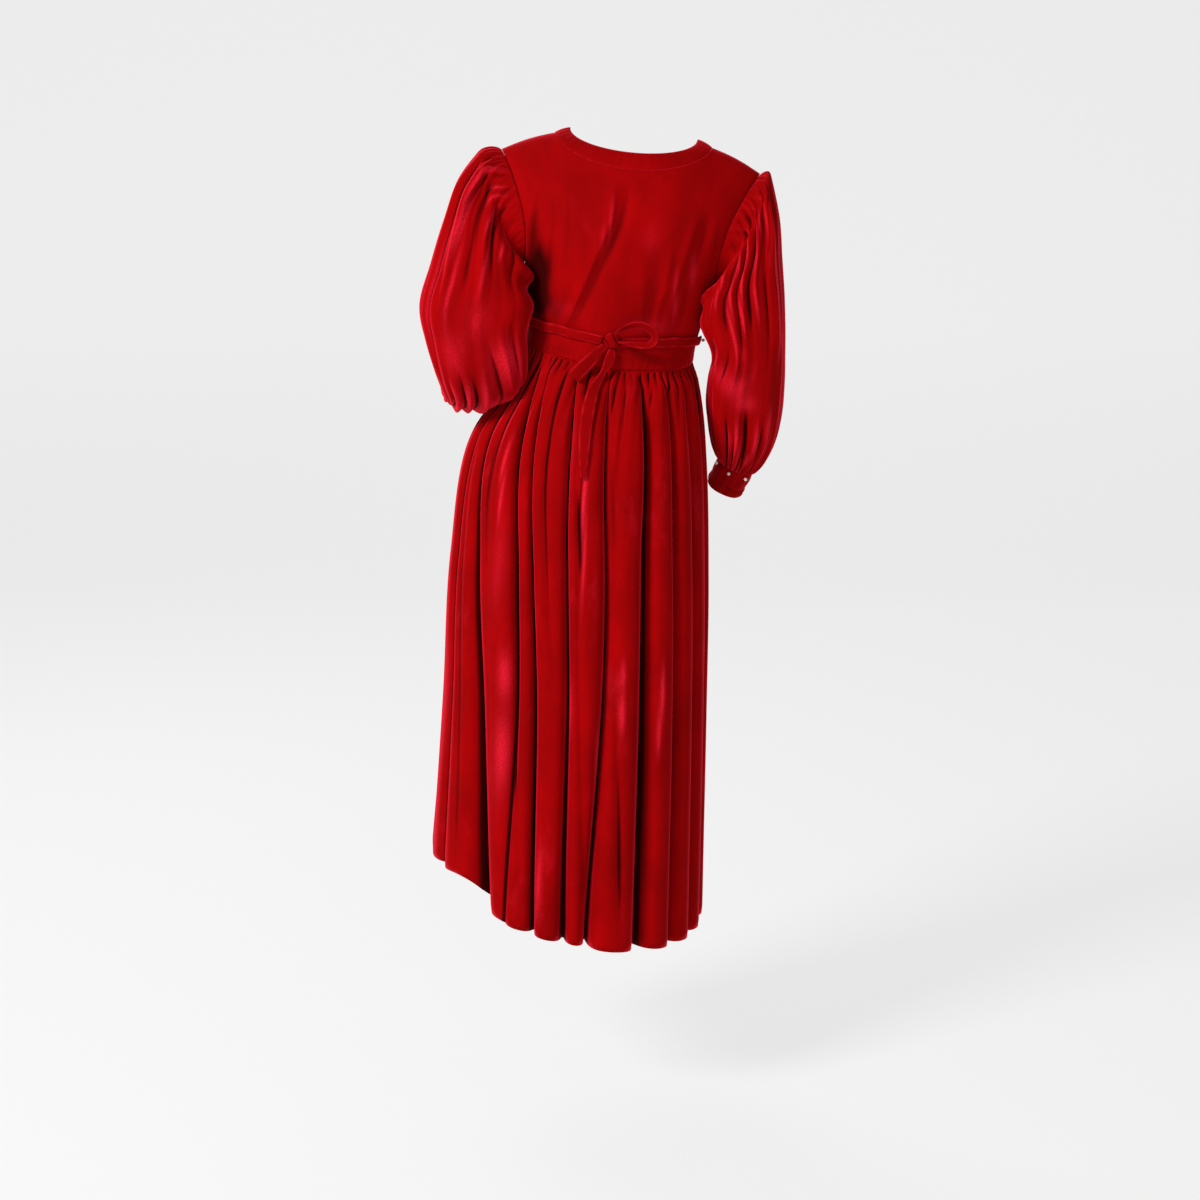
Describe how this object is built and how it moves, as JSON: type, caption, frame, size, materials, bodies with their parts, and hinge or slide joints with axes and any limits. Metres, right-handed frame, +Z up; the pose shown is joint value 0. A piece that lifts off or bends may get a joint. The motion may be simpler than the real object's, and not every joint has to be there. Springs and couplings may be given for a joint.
{
  "type": "dress",
  "caption": "Long-sleeved velvet dress with a gathered skirt, full sleeves on fitted cuffs and a narrow tie bowed at the back.",
  "frame": {"origin": "midway between the two points where the neckline meets the shoulder seams, where the dress is held up", "axes": "+Z up, the front faces -Y, the wearer's left is +X; worn pose, shoulders tipped about 5 degrees, wearer's left arm bent and right arm hanging"},
  "size_m": [0.5445, 0.3684, 1.2158],
  "materials": {
    "velvet": "crimson velvet, matt pile with a soft sheen at grazing angles"
  },
  "bodies": {
    "root": {"bodice_back": "velvet", "bodice_front": "velvet", "neck_band": "velvet", "sleeve_left": "velvet", "sleeve_right": "velvet", "cuff_left": "velvet", "cuff_right": "velvet", "cuff_edge_left": "velvet", "cuff_edge_right": "velvet", "skirt_back": "velvet", "skirt_front": "velvet", "tie_left": "velvet", "tie_right": "velvet", "tie_knot": "velvet", "bow_loop": "velvet", "tie_tail_short": "velvet", "tie_tail_long": "velvet"}
  },
  "joints": []
}
